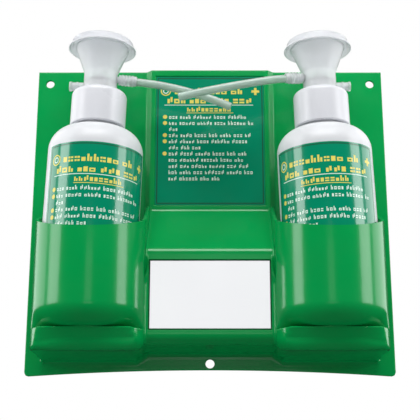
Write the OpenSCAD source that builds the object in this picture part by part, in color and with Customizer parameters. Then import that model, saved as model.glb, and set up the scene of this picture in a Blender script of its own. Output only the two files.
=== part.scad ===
// Wall-hung eyewash station: a vacuum-formed panel that carries two squeeze
// bottles with eye cups, an instruction label and a mirror.
// The frame: +Z up, +X to the right, the front faces -Y, and the wall is the plane y = 0.
// The origin is midway between the two top screw holes, on the wall.

/* [Panel] */
// Width of the panel
panel_w = 290; // [286:1:350]
// Height of the panel, from its nominal bottom edge
panel_h = 254; // [244:1:310]
// Thickness of the formed sheet
sheet = 2.5; // [2:0.1:3]
// Radius of the panel's corners
panel_corner = 4; // [2:0.5:10]
// Rise of the curved bottom edge, from its ends to its middle
bottom_arch = 5; // [2:0.5:8]
// How far the middle of the bottom edge stands above its nominal height
bottom_lift = 3.5; // [0:0.5:5]

/* [Screw holes] */
// Distance between the two top screw holes
screw_span = 270; // [240:1:272]
// Drop from the top edge to the top screw holes
screw_drop = 11; // [9:0.5:16]
// Diameter of the screw holes
screw_hole_d = 7; // [4:0.5:8]
// Height of the bottom screw hole over the nominal bottom edge
bottom_hole_h = 8.5; // [8:0.5:12]

/* [Raised middle] */
// Width of the raised field that carries the label
field_w = 98; // [94:1:108]
// How far that field stands out from the panel's front face
field_rise = 4.5; // [3:0.5:8]
// Width of the sloping side of the field
field_slope = 8; // [4:0.5:10]
// Height of the field's foot over the bottom edge
field_foot_h = 131; // [125:1:134]
// Depth of the mirror block from the wall
block_depth = 45; // [35:1:55]
// Height of the mirror block's top edge over the bottom edge
block_top_h = 90.5; // [88:0.5:105]
// Height of the mirror block's underside over the bottom edge
block_foot_h = 19; // [17:0.5:24]
// Radius of the mirror block's lower edge
block_edge = 8; // [4:0.5:10]

/* [Label] */
// Width of the instruction label
label_w = 90; // [80:1:92]
// Height of the instruction label
label_h = 112; // [100:1:114]
// Thickness of the printed labels
label_t = 0.3; // [0.2:0.05:0.6]
// Gap between the label and the panel's top edge
label_top_gap = 6; // [4:0.5:8]
// Gap around the label and around the mirror in their recesses
recess_gap = 0.5; // [0.3:0.1:1]
// Depth of the label's recess
label_recess = 0.8; // [0.5:0.1:1.2]

/* [Mirror] */
// Width of the mirror
mirror_w = 91; // [70:1:93]
// Height of the mirror
mirror_h = 52; // [40:1:56]
// Thickness of the mirror
mirror_t = 2; // [1.5:0.1:2.2]
// Thickness of the foam tape behind the mirror
tape_t = 0.8; // [0.5:0.1:1]
// Depth of the mirror's recess
mirror_recess = 3.6; // [3:0.1:4]
// Height of the mirror's middle over the bottom edge
mirror_mid_h = 56.2; // [54:0.2:60]

/* [Pockets] */
// Distance between the axes of the two pockets
pocket_span = 182; // [180:1:196]
// Depth of the pockets' axes from the wall
pocket_axis_y = 41; // [41:0.5:46]
// Gap around a bottle in its pocket
pocket_gap = 3; // [2.8:0.1:4]
// Height of the pockets' undersides over the bottom edge
pocket_floor_h = 29.5; // [28:0.5:34]
// Radius of the rounding at the foot of a pocket
pocket_fillet = 16; // [14:0.5:18]
// Height of the pockets' rims at the wall, over the bottom edge
rim_back_h = 130.5; // [120:0.5:132]
// Slope of the rims, falling towards the front
rim_slope = 20; // [10:1:25]
// Depth of the flat faces below the pockets, from the wall
foot_face_y = 67; // [60:1:70]
// Height of the underside of those faces over the bottom edge
foot_h = 13; // [11:0.5:18]
// Radius of their lower edge
foot_edge = 4; // [2:0.5:6]

/* [Bottles] */
// Diameter of a bottle
bottle_d = 74; // [68:1:78]
// Height of a bottle's straight side and rounded foot, up to its shoulder
bottle_side = 134.6; // [120:0.2:150]
// Wall of a bottle
bottle_wall = 1.2; // [0.8:0.1:2]
// Radius of the rounding at a bottle's foot
bottle_foot_r = 12; // [8:0.5:14]
// Radius of a bottle's rounded shoulder
shoulder_r = 19.4; // [14:0.2:19.4]
// Lean of the bottles towards each other
bottle_lean = 1.8; // [0:0.1:2]
// Distance between the two bottles' axes at their feet
bottle_foot_span = 187.9; // [187:0.1:188]
// Gap under a bottle's foot, above the ledge
foot_gap = 1.4; // [1.2:0.1:2]
// Depth of solution in a bottle
fill_h = 126; // [90:1:128]
// Height of a bottle label
wrap_h = 112; // [90:1:114]
// Height of a bottle label's lower edge over the bottle's foot
wrap_foot = 20.6; // [15:0.2:22]
// Arc that a bottle label covers
wrap_arc = 142; // [90:2:170]
// Turn of the left bottle's label towards the middle
left_wrap_turn = 14; // [-20:1:20]
// Turn of the right bottle's label towards the middle
right_wrap_turn = 8; // [-20:1:20]

/* [Neck and collar] */
// Outer radius of a bottle's neck, under the thread
neck_r = 17.4; // [16:0.1:17.4]
// Wall of the neck
neck_wall = 2; // [1.5:0.1:2.6]
// How far the screw threads stand out
thread_out = 1; // [0.8:0.1:1.2]
// Rise of the screw threads in one turn
thread_pitch = 4.2; // [4:0.1:5]
// Radial gap between the threads and the wall that they face
thread_gap = 0.5; // [0.4:0.05:0.6]
// Outer radius of the screw collar
collar_r = 21.75; // [21.2:0.05:23]
// Height of the screw collar
collar_h = 29.6; // [28:0.1:31]
// Gap between the shoulder's top and the collar's foot
collar_foot_gap = 2.4; // [1:0.1:3]
// Thickness of the collar's top
collar_top = 2.2; // [1.8:0.1:2.6]
// Radius of the rounding around the collar's top
collar_round = 4.5; // [2:0.5:5]

/* [Eye cup] */
// Outer radius of the eye cup's stem
stem_r = 13.25; // [12:0.05:14]
// Wall of the eye cup
cup_wall = 1.4; // [1.2:0.1:2]
// Length of the stem above the collar
stem_h = 16.5; // [15:0.5:18]
// Outer radius of the cup's rim
rim_r = 21.2; // [20:0.1:23]
// Height of the flaring cup
flare_h = 22.5; // [21:0.5:28]
// Thickness of the cup's clamped flange
flange_t = 2.4; // [2:0.1:3]
// Thickness of the sealing washer under the flange
washer_t = 1.2; // [0.8:0.1:1.6]
// Height of the cup's floor over the collar
cup_floor_h = 9.2; // [8.5:0.1:10]
// Outer radius of the dip tube
dip_r = 3; // [2.5:0.1:3.5]

/* [Dust cover] */
// Outer radius of the dust cover's crown
cover_r = 24.6; // [24:0.1:27]
// Outer radius of its flared edge
cover_edge_r = 27; // [26:0.1:29]
// Height of the dust cover
cover_h = 7.5; // [7:0.5:9]
// Wall of the dust cover
cover_wall = 1.2; // [1:0.1:1.4]
// Gap between the cup's rim and the cover's crown
cover_gap = 3.6; // [3:0.1:5]

/* [Drain and vent] */
// Height of the drain spigot over the collar
drain_h = 12.6; // [12:0.1:13.4]
// Outer radius of the drain spigot
spigot_r = 2.6; // [2.2:0.1:2.8]
// Outer radius of the sleeve that joins the hose to the spigot
sleeve_r = 4.5; // [4.2:0.1:5]
// Outer radius of a drain hose
hose_r = 3.15; // [2.8:0.05:3.5]
// Height of the vent stub over the collar
vent_h = 4.9; // [4.4:0.1:5]
// Outer radius of the vent stub
vent_r = 3.5; // [3:0.1:3.6]
// Outer radius of the rings on the vent stub and its plug
vent_ring_r = 3.9; // [3.5:0.1:4.2]
// Distance from the bottle's axis to the vent plug's outer face
vent_reach = 24.5; // [24:0.5:28]

/* [Hidden] */
$fn = 96;
eps = 0.01;
bottom_z = screw_drop - panel_h;
field_y = sheet + field_rise;
pocket_r = bottle_d / 2 + pocket_gap + sheet;
pocket_in = pocket_r - sheet;
pocket_x = pocket_span / 2;
pocket_floor_z = bottom_z + pocket_floor_h;
foot_z = bottom_z + foot_h;
rim_z = bottom_z + rim_back_h;
block_in_x = pocket_x - pocket_in - sheet / 2;
bottle_r = bottle_d / 2;
bottle_foot_z = pocket_floor_z + foot_gap + sheet;
shoulder_top = bottle_side + shoulder_r;
collar_foot = shoulder_top + collar_foot_gap;
collar_crown = collar_foot + collar_h;
clamp_gap = 0.1;
flange_top = collar_crown - collar_top - clamp_gap;
flange_z = flange_top - flange_t;
neck_top = flange_z - washer_t;
neck_in = neck_r - neck_wall;
collar_in = neck_r + thread_out + thread_gap;
stem_in = stem_r - cup_wall;
stem_top = collar_crown + stem_h;
rim_top = stem_top + flare_h;
cup_floor = collar_crown + cup_floor_h;
cover_top = rim_top + cover_gap + cover_wall;
drain_z = collar_crown + drain_h;
vent_z = collar_crown + vent_h;
spigot_wall = 0.9;
spigot_end = stem_r + 7;
sleeve_start = stem_r + 1.2;
sleeve_len = 14.4;
sleeve_bore = hose_r - 0.05;
hose_entry = 5.5;
plug_face_t = 2;
vent_ring_at = 17;
vent_ring_t = 1.6;
thread_tip = 1;
thread_root = 2;
male_turns = 2;
female_turns = 1;
thread_start = neck_top - 4 - thread_pitch * male_turns;
dip_foot = 6;
left_drain_pitch = 4;
left_drain_yaw = 4;
right_drain_pitch = 5.5;
right_drain_yaw = 14;

// The drain hoses, from just inside their sleeves to their bare tips, in the station's frame.
left_route = [
    [-64.0, -39.35, -13.15], [-59.0, -39.0, -13.5], [-54.0, -38.7, -13.9], [-49.0, -38.3, -14.5],
    [-44.0, -38.0, -15.1], [-39.0, -37.8, -15.9], [-34.0, -37.5, -16.9], [-29.0, -37.3, -17.9],
    [-24.0, -37.1, -19.1], [-19.0, -36.9, -20.4], [-14.0, -36.7, -21.8], [-9.0, -36.6, -23.4],
    [-4.0, -36.5, -25.1], [1.0, -36.4, -26.9], [6.0, -36.3, -28.9], [11.0, -36.2, -30.9],
    [16.5, -36.2, -33.4]];
right_route = [
    [64.7, -46.75, -13.8], [60.0, -47.9, -14.3], [55.0, -49.2, -15.0], [50.0, -50.4, -16.0],
    [44.0, -51.6, -17.4], [38.0, -52.8, -18.8], [32.0, -53.8, -20.3], [26.0, -54.8, -21.7],
    [20.0, -55.6, -23.1], [14.0, -56.3, -24.6], [8.0, -56.9, -26.0], [2.0, -57.5, -27.5],
    [-4.0, -57.9, -28.9], [-10.0, -58.2, -30.4], [-17.0, -58.4, -32.2], [-24.5, -58.4, -34.0]];
hose_sides = 12;

// Turns a flat outline, drawn as [x, z], into a slab that stands on the wall.
module slab(depth) {
    rotate([90, 0, 0])
        linear_extrude(height = depth)
            children();
}

// Extrudes a side view, drawn as [depth, z], across the panel from x0 to x1.
module across(x0, x1) {
    translate([x0, 0, 0])
        rotate([90, 0, 90])
            linear_extrude(height = x1 - x0)
                mirror([1, 0])
                    children();
}

module rounded_rect(w, h, r) {
    for (sx = [-1, 1], sy = [-1, 1])
        translate([sx * (w / 2 - r), sy * (h / 2 - r)])
            circle(r = r);
    square([w - 2 * r, h], center = true);
    square([w, h - 2 * r], center = true);
}

// The panel's outline, with the arched bottom edge.
module panel_outline() {
    arch_r = (panel_w * panel_w / 4 + bottom_arch * bottom_arch) / (2 * bottom_arch);
    low_z = bottom_z + bottom_lift - bottom_arch;
    full_h = screw_drop - low_z;
    difference() {
        translate([0, screw_drop - full_h / 2])
            rounded_rect(panel_w, full_h, panel_corner);
        translate([0, bottom_z + bottom_lift - arch_r])
            circle(r = arch_r, $fn = 360);
    }
}

// A form ends on the wall, and its hollow, which is inset, cuts just past it.
function back_y(inset) = inset > 0 ? eps : 0;

// The raised field behind the label, inset by the sheet for its hollow back.
module label_field(inset) {
    half = field_w / 2 - inset;
    foot = bottom_z + block_top_h;
    translate([0, 0, foot])
        linear_extrude(height = screw_drop - inset - foot)
            polygon([[-half - field_slope, back_y(inset)], [half + field_slope, back_y(inset)],
                [half, inset - field_y], [-half, inset - field_y]]);
}

// The mirror block with its sloping shelf, as a side view.
module block_side(inset) {
    top_z = bottom_z + block_top_h;
    low_z = bottom_z + block_foot_h;
    shelf_z = bottom_z + field_foot_h;
    face = block_depth - inset;
    back = field_y - inset;
    // The sheet's thickness, measured down across the sloping shelf.
    slope = atan2(shelf_z - top_z, block_depth - field_y);
    drop = inset * (1 / cos(90 - slope) - 1 / tan(slope));
    difference() {
        polygon([[-back_y(inset), low_z + inset], [face, low_z + inset], [face, top_z - drop],
            [back, shelf_z - drop], [-back_y(inset), shelf_z - drop]]);
        translate([face - block_edge + inset, low_z + block_edge])
            difference() {
                translate([0, -block_edge])
                    square([block_edge + eps, block_edge]);
                circle(r = block_edge - inset);
            }
    }
}

// The plan of a pocket: round in front, straight back to the wall.
module pocket_plan(r, inset) {
    intersection() {
        translate([0, -pocket_axis_y])
            circle(r = r);
        translate([-r, -2 * pocket_r])
            square([2 * r, 2 * pocket_r]);
    }
    translate([-r, -pocket_axis_y])
        square([2 * r, pocket_axis_y + back_y(inset)]);
}

// The round cup of a pocket with its rounded foot, from radius r and foot height z0.
module pocket_cup(r, fillet, z0, z1) {
    translate([0, -pocket_axis_y, z0])
        rotate_extrude()
            intersection() {
                union() {
                    translate([r - fillet, fillet])
                        circle(r = fillet);
                    translate([0, fillet])
                        square([r, z1 - z0 - fillet]);
                    square([r - fillet, z1 - z0]);
                }
                square([r, z1 - z0]);
            }
}

// The flat-faced foot below a pocket, as a side view.
module foot_side(inset) {
    face = foot_face_y - inset;
    low = foot_z + inset;
    high = pocket_floor_z + pocket_fillet;
    edge = foot_edge - inset;
    difference() {
        translate([-back_y(inset), low])
            square([face + back_y(inset), high - low]);
        if (edge > 0)
            translate([face - edge, low + edge])
                difference() {
                    translate([0, -edge - eps])
                        square([edge + eps, edge + eps]);
                    circle(r = edge);
                }
    }
}

// One whole pocket form at the left or right, side = -1 or 1, inset by the sheet for its hollow.
module pocket_form(side, inset) {
    r = pocket_r - inset;
    top = rim_z + eps;
    seam_z = pocket_floor_z + pocket_fillet;
    translate([side * pocket_x, 0, 0]) {
        intersection() {
            pocket_cup(r, pocket_fillet - inset, pocket_floor_z + inset, top);
            translate([-r, -2 * pocket_r, foot_z])
                cube([2 * r, 2 * pocket_r + back_y(inset), top - foot_z]);
        }
        intersection() {
            translate([0, 0, foot_z])
                linear_extrude(height = seam_z - foot_z)
                    pocket_plan(r, inset);
            across(-r, r)
                foot_side(inset);
        }
        translate([-r, -pocket_axis_y, seam_z - eps])
            cube([2 * r, pocket_axis_y + back_y(inset), top - seam_z + eps]);
    }
}

// Everything above the sloping rims.
module above_rims(side) {
    reach = 2 * pocket_r + pocket_axis_y;
    translate([side * pocket_x, 0, rim_z])
        rotate([rim_slope, 0, 0])
            translate([-pocket_r - eps, -reach, 0])
                cube([2 * pocket_r + 2 * eps, reach + sheet, reach]);
}

module screw_hole(x, z) {
    translate([x, eps, z])
        rotate([90, 0, 0])
            cylinder(d = screw_hole_d, h = sheet + 2 * eps);
}

module label_at() {
    translate([0, 0, screw_drop - label_top_gap - label_h / 2])
        children();
}

module mirror_at() {
    translate([0, 0, bottom_z + mirror_mid_h])
        children();
}

module wall_panel() {
    color("#00944d")
        difference() {
            union() {
                slab(sheet)
                    panel_outline();
                label_field(0);
                across(-block_in_x, block_in_x)
                    block_side(0);
                for (side = [-1, 1])
                    difference() {
                        pocket_form(side, 0);
                        above_rims(side);
                    }
            }
            label_field(sheet);
            difference() {
                across(-block_in_x + sheet / 2, block_in_x - sheet / 2)
                    block_side(sheet);
                mirror_at()
                    translate([0, mirror_recess + sheet - block_depth, 0])
                        slab(block_depth)
                            square([2 * block_in_x, mirror_h + 2 * (recess_gap + sheet)], center = true);
            }
            for (side = [-1, 1])
                difference() {
                    pocket_form(side, sheet);
                    above_rims(side);
                }
            label_at()
                translate([0, label_recess - field_y, 0])
                    slab(label_recess + eps)
                        square([label_w + 2 * recess_gap, label_h + 2 * recess_gap], center = true);
            mirror_at()
                translate([0, mirror_recess - block_depth, 0])
                    slab(mirror_recess + eps)
                        square([mirror_w + 2 * recess_gap, mirror_h + 2 * recess_gap], center = true);
            screw_hole(-screw_span / 2, 0);
            screw_hole(screw_span / 2, 0);
            screw_hole(0, bottom_z + bottom_hole_h);
        }
}

module instruction_label() {
    color("#008c64")
        label_at()
            translate([0, label_recess - field_y, 0])
                slab(label_t)
                    rounded_rect(label_w, label_h, 1);
}

module mirror_tape() {
    color("#e8e8e0")
        mirror_at()
            translate([0, mirror_recess - block_depth, 0])
                slab(tape_t)
                    square([mirror_w - 6, mirror_h - 6], center = true);
}

module mirror_tile() {
    color("#e6eaf0")
        mirror_at()
            translate([0, mirror_recess - block_depth - tape_t, 0])
                slab(mirror_t)
                    square([mirror_w, mirror_h], center = true);
}

// Places a piece drawn upright over its bottle's foot onto the leaning bottle.
module on_bottle(side) {
    translate([side * bottle_foot_span / 2, -pocket_axis_y, bottle_foot_z])
        rotate([0, -side * bottle_lean, 0])
            children();
}

// Half of a bottle's body in section, inset by its wall.
module body_half(inset) {
    r = bottle_r - inset;
    low_r = bottle_foot_r - inset;
    top_r = shoulder_r - inset;
    h = shoulder_top - 2 * inset;
    translate([0, inset])
        intersection() {
            union() {
                translate([r - low_r, low_r])
                    circle(r = low_r);
                translate([r - top_r, h - top_r])
                    circle(r = top_r);
                square([r - low_r, low_r + eps]);
                translate([0, low_r])
                    square([r, h - low_r - top_r]);
                translate([0, h - top_r - eps])
                    square([r - top_r, top_r + eps]);
            }
            square([r, h]);
        }
}

function thread_ring(root_r, tip_r, a, z) = [
    [root_r * cos(a), root_r * sin(a), z - thread_root / 2],
    [tip_r * cos(a), tip_r * sin(a), z - thread_tip / 2],
    [tip_r * cos(a), tip_r * sin(a), z + thread_tip / 2],
    [root_r * cos(a), root_r * sin(a), z + thread_root / 2]];

// Joins rings of equal length into one closed skin.
module skin(rings, flip) {
    n = len(rings[0]);
    last = len(rings) - 1;
    points = [for (ring = rings) each ring];
    walls = [for (i = [0 : last - 1], k = [0 : n - 1])
        let (a = i * n + k, b = i * n + (k + 1) % n) each [[a, b, b + n], [a, b + n, a + n]]];
    caps = [[for (k = [n - 1 : -1 : 0]) k], [for (k = [0 : n - 1]) last * n + k]];
    faces = concat(walls, caps);
    polyhedron(points = points, faces = flip ? [for (f = faces) [for (k = [len(f) - 1 : -1 : 0]) f[k]]] : faces);
}

// A screw thread that climbs one pitch in each turn.
module thread(root_r, tip_r, z0, turns) {
    steps = 24;
    rings = [for (i = [0 : steps * turns])
        thread_ring(root_r, tip_r, 360 * i / steps, z0 + thread_pitch * i / steps)];
    skin(rings, tip_r < root_r);
}

module bottle(side) {
    color("#e9ecee")
        on_bottle(side) {
            rotate_extrude()
                difference() {
                    union() {
                        body_half(0);
                        translate([0, shoulder_top - 4])
                            square([neck_r, neck_top + 4 - shoulder_top]);
                    }
                    body_half(bottle_wall);
                    translate([0, shoulder_top - 6])
                        square([neck_in, neck_top + 6 + eps - shoulder_top]);
                }
            thread(neck_r - 0.3, neck_r + thread_out, thread_start, male_turns);
        }
}

module bottle_label(side, turn) {
    color("#008c64")
        on_bottle(side)
            translate([0, 0, wrap_foot])
                rotate([0, 0, -90 - side * turn - wrap_arc / 2])
                    rotate_extrude(angle = wrap_arc)
                        translate([bottle_r, 0])
                            square([label_t, wrap_h]);
}

module solution(side) {
    clear = 0.3;
    color("#d8e8f0")
        on_bottle(side)
            difference() {
                rotate_extrude()
                    intersection() {
                        body_half(bottle_wall + clear);
                        square([bottle_r, bottle_wall + fill_h]);
                    }
                translate([0, 0, dip_foot - clear])
                    cylinder(r = dip_r + clear, h = fill_h);
            }
}

module collar(side) {
    color("#e4e7ea")
        on_bottle(side) {
            rotate_extrude()
                difference() {
                    union() {
                        translate([0, collar_foot])
                            square([collar_r, collar_h - collar_round]);
                        translate([0, collar_foot])
                            square([collar_r - collar_round, collar_h]);
                        translate([collar_r - collar_round, collar_crown - collar_round])
                            circle(r = collar_round);
                    }
                    translate([0, collar_foot - eps])
                        square([collar_in, flange_top + clamp_gap - collar_foot]);
                    translate([0, flange_top])
                        square([stem_r + 0.5, collar_h]);
                }
            thread(collar_in + 0.2, neck_r + 0.2, thread_start + thread_pitch * 0.5, female_turns);
        }
}

module washer(side) {
    color("#c8ccd0")
        on_bottle(side)
            translate([0, 0, neck_top])
                difference() {
                    cylinder(r = neck_r, h = washer_t);
                    translate([0, 0, -eps])
                        cylinder(r = neck_in - 1, h = washer_t + 2 * eps);
                }
}

// Points a round piece out of the stem, level at height z, along +X turned by pitch and yaw.
module out_of_stem(side, z, pitch, yaw) {
    translate([0, 0, z])
        rotate([0, 0, side < 0 ? yaw : 180 + yaw])
            rotate([0, 90 + pitch - bottle_lean, 0])
                children();
}

module drain_axis(side) {
    if (side < 0)
        out_of_stem(side, drain_z, left_drain_pitch, left_drain_yaw)
            children();
    else
        out_of_stem(side, drain_z, right_drain_pitch, right_drain_yaw)
            children();
}

module vent_axis(side) {
    translate([0, 0, vent_z])
        rotate([0, side * 90, 0])
            children();
}

// The eye cup: a clamped flange, a hollow stem with a floor, and a flaring cup.
module eye_cup(side) {
    bead = 0.5;
    floor_t = 1.6;
    socket_r = dip_r + 0.05;
    color("#dfe6ea")
        on_bottle(side)
            difference() {
                union() {
                    rotate_extrude()
                        polygon([[socket_r, flange_z - 4], [socket_r + 1.4, flange_z - 4],
                            [socket_r + 1.4, cup_floor - floor_t], [stem_in, cup_floor - floor_t],
                            [stem_in, flange_z], [neck_r, flange_z], [neck_r, flange_top],
                            [stem_r, flange_top], [stem_r, stem_top], [rim_r, rim_top - 2],
                            [rim_r + bead, rim_top - 2], [rim_r + bead, rim_top],
                            [rim_r - cup_wall, rim_top], [stem_in, stem_top],
                            [stem_in, cup_floor], [socket_r, cup_floor]]);
                    drain_axis(side)
                        translate([0, 0, stem_in + 0.4])
                            cylinder(r = spigot_r, h = spigot_end - stem_in - 0.4);
                    vent_axis(side)
                        translate([0, 0, stem_in + 0.4]) {
                            cylinder(r = vent_r, h = vent_reach - plug_face_t - stem_in - 0.4);
                            translate([0, 0, vent_ring_at - stem_in])
                                cylinder(r = vent_ring_r, h = vent_ring_t);
                        }
                }
                drain_axis(side)
                    translate([0, 0, stem_in - 2])
                        cylinder(r = spigot_r - spigot_wall, h = spigot_end);
                vent_axis(side)
                    translate([0, 0, stem_in - 2])
                        cylinder(r = vent_r - spigot_wall, h = vent_reach);
            }
}

// The spray head that stands on the cup's floor over the dip tube.
module spray_nozzle(side) {
    head_h = 4.6;
    color("#d2d8dc")
        on_bottle(side)
            translate([0, 0, cup_floor])
                difference() {
                    union() {
                        cylinder(r = 7, h = 1.4);
                        cylinder(r = 5, h = head_h);
                    }
                    translate([0, 0, -eps])
                        cylinder(r = dip_r + 0.05, h = head_h - 1.4);
                    for (k = [0 : 5])
                        rotate([0, 0, 60 * k])
                            translate([2.2, 0, 0])
                                cylinder(r = 0.4, h = head_h + 1);
                    cylinder(r = 0.4, h = head_h + 1);
                }
}

module dip_tube(side) {
    color("#eef0f2")
        on_bottle(side)
            translate([0, 0, dip_foot])
                difference() {
                    cylinder(r = dip_r, h = cup_floor + 2 - dip_foot);
                    translate([0, 0, -eps])
                        cylinder(r = dip_r - 1, h = cup_floor + 3 - dip_foot);
                }
}

module drain_sleeve(side) {
    color("#dfe6ea")
        on_bottle(side)
            drain_axis(side)
                translate([0, 0, sleeve_start])
                    difference() {
                        cylinder(r = sleeve_r, h = sleeve_len);
                        translate([0, 0, -eps])
                            cylinder(r = spigot_r + 0.05, h = spigot_end - sleeve_start + 0.2);
                        translate([0, 0, sleeve_len - hose_entry])
                            cylinder(r = sleeve_bore, h = hose_entry + eps);
                        cylinder(r = spigot_r - spigot_wall, h = sleeve_len);
                    }
}

function unit(v) = v / norm(v);
function heading(route, i) = i == 0 ? unit(route[1] - route[0])
    : i == len(route) - 1 ? unit(route[i] - route[i - 1])
    : unit(unit(route[i] - route[i - 1]) + unit(route[i + 1] - route[i]));
function hose_ring(p, t) = let (u = unit(cross(t, [0, 1, 0])), v = cross(t, u))
    [for (k = [0 : hose_sides - 1]) let (a = 360 * k / hose_sides) p + hose_r * (u * cos(a) + v * sin(a))];

module drain_hose(route) {
    color("#cfdcd4")
        skin([for (i = [0 : len(route) - 1]) hose_ring(route[i], heading(route, i))], false);
}

// The plug that closes the vent stub, with the flat face that a thumb pulls.
module vent_plug(side) {
    color("#dfe6ea")
        on_bottle(side)
            vent_axis(side) {
                translate([0, 0, vent_reach - plug_face_t])
                    cylinder(r = vent_ring_r, h = plug_face_t);
                translate([0, 0, vent_reach - plug_face_t - 5])
                    cylinder(r = vent_r - spigot_wall - 0.05, h = 5 + eps);
            }
}

// The dust cover: a flared cap with a ledge inside that rests on the cup's rim.
module dust_cover(side) {
    bevel = 2.4;
    flare_at = 4;
    swell = 0.5;
    ledge_r = rim_r - cup_wall + 0.2;
    in_r = cover_r - cover_wall;
    foot = cover_top - cover_h;
    color("#dfe4ea")
        on_bottle(side)
            rotate_extrude()
                difference() {
                    polygon([[0, cover_top], [cover_r - bevel, cover_top], [cover_r, cover_top - bevel],
                        [cover_r + swell, foot + flare_at], [cover_edge_r, foot], [0, foot]]);
                    difference() {
                        polygon([[0, cover_top - cover_wall], [in_r - bevel / 2, cover_top - cover_wall],
                            [in_r, cover_top - bevel], [in_r + swell, foot + flare_at],
                            [cover_edge_r - cover_wall, foot - eps], [0, foot - eps]]);
                        translate([ledge_r, rim_top])
                            square([in_r, cover_h]);
                    }
                }
}

wall_panel();
instruction_label();
mirror_tile();  // mirror
mirror_tape();
bottle(-1);  // left_bottle
bottle(1);  // right_bottle
bottle_label(-1, left_wrap_turn);  // left_bottle_label
bottle_label(1, right_wrap_turn);  // right_bottle_label
solution(-1);  // left_solution
solution(1);  // right_solution
collar(-1);  // left_collar
collar(1);  // right_collar
washer(-1);  // left_washer
washer(1);  // right_washer
eye_cup(-1);  // left_eye_cup
eye_cup(1);  // right_eye_cup
spray_nozzle(-1);  // left_spray_nozzle
spray_nozzle(1);  // right_spray_nozzle
dip_tube(-1);  // left_dip_tube
dip_tube(1);  // right_dip_tube
drain_sleeve(-1);  // left_drain_sleeve
drain_sleeve(1);  // right_drain_sleeve
drain_hose(left_route);  // left_drain_hose
drain_hose(right_route);  // right_drain_hose
vent_plug(-1);  // left_vent_plug
vent_plug(1);  // right_vent_plug
dust_cover(-1);  // left_dust_cover
dust_cover(1);  // right_dust_cover
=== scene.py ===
"""Wall-hung eyewash station: formed green panel, two squeeze bottles with eye cups, label and mirror."""

import math

import bpy
from mathutils import Matrix, Vector


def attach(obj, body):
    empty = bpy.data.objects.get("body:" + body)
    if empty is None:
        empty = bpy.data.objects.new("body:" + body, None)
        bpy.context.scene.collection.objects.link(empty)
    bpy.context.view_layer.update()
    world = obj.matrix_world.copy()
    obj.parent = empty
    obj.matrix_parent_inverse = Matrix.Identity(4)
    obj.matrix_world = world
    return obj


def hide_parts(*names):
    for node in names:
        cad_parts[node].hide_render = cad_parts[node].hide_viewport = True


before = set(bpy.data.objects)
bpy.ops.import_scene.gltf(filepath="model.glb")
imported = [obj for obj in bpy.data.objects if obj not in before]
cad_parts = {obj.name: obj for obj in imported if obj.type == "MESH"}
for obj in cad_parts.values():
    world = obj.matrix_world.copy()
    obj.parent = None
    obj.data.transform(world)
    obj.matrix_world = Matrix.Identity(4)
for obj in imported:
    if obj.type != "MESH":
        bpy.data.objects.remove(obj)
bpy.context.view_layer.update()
MM = 0.001

# ---------------------------------------------------------------- sizes in millimetres
PANEL_W, PANEL_H, SHEET = 290.0, 254.0, 2.5
TOP_Z = 11.0
BOTTOM_Z = TOP_Z - PANEL_H
CORNER_R = 4.0
ARCH_RISE, ARCH_LIFT = 5.0, 3.5
SCREW_SPAN, SCREW_D, LOW_SCREW_Z = 270.0, 7.0, BOTTOM_Z + 8.5

FIELD_HALF, FIELD_FOOT_HALF, FIELD_Y = 49.0, 53.4, 7.0
LABEL_W, LABEL_H, LABEL_MID_Z, LABEL_T, LABEL_RECESS = 90.0, 112.0, -51.0, 0.3, 0.8
BLOCK_Y, BLOCK_TOP_Z, FIELD_FOOT_Z = 45.0, BOTTOM_Z + 90.5, BOTTOM_Z + 131.0
BLOCK_FOOT_Z, BLOCK_EDGE = BOTTOM_Z + 19.0, 8.0
MIRROR_W, MIRROR_H, MIRROR_MID_Z, MIRROR_RECESS = 91.0, 52.0, BOTTOM_Z + 56.2, 3.6
RECESS_GAP = 0.5

POCKET_X, POCKET_Y, POCKET_R = 91.0, 41.0, 42.5
POCKET_FLOOR_Z, POCKET_FILLET = BOTTOM_Z + 29.5, 16.0
RIM_Z, RIM_SLOPE = BOTTOM_Z + 130.5, math.radians(20)
FOOT_FACE_Y, FOOT_Z, FOOT_EDGE, FOOT_TILT = 67.0, BOTTOM_Z + 13.0, 8.0, 3.5
WALL_FILLET, UNDER_DRAFT, SIDE_EDGE, INNER_FILLET, EDGE_ROUND = 3.0, 2.5, 2.5, 2.0, 0.8
# The strip of sheet behind each bottle, and the places of the panel's columns and rows.
BACK_TAB_Z, BACK_TAB_REACH = -150.0, 131.0
FLANGE_STEPS = (1.0, 0.98, 0.95, 0.9, 0.7, 0.45, 0.2)
APRON_STEPS = (0.3, 0.6, 0.9, 0.95, 0.98, 1.0)
STEP_ACROSS = (0.3, 0.15, 0.0, -0.15, -0.3)
MIDDLE_EDGE = MIRROR_W / 2 + RECESS_GAP + 0.45
MIDDLE_STEPS = (0.15, 0.3, 0.45, 0.6, 0.75, 0.85, 1.0, 1.15, 1.25, 5.0)
MIDDLE_X = [MIDDLE_EDGE - step for step in MIDDLE_STEPS] + [32.0, 22.0, 11.0, 0.0]

BOTTLE_R, BOTTLE_WALL, BOTTLE_FOOT_R = 37.0, 1.2, 12.0
BOTTLE_LEAN = math.radians(1.8)
BOTTLE_FOOT_X, BOTTLE_FOOT_Z = 93.95, -209.6
SHOULDER_R, SHOULDER_TOP = 19.4, 154.0
NECK_R, NECK_WALL = 17.4, 2.0
COLLAR_R, COLLAR_FOOT, COLLAR_CROWN, COLLAR_TOP = 21.75, 156.4, 186.0, 2.2
FLANGE_TOP = COLLAR_CROWN - COLLAR_TOP - 0.1
FLANGE_T, WASHER_T = 2.4, 1.2
NECK_TOP = FLANGE_TOP - FLANGE_T - WASHER_T
THREAD_OUT, THREAD_PITCH, THREAD_TURNS = 1.0, 4.2, 2
THREAD_START = NECK_TOP - 4.0 - THREAD_PITCH * THREAD_TURNS
COLLAR_IN = 18.9
STEM_R, CUP_WALL, STEM_TOP = 13.25, 1.4, COLLAR_CROWN + 16.5
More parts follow.
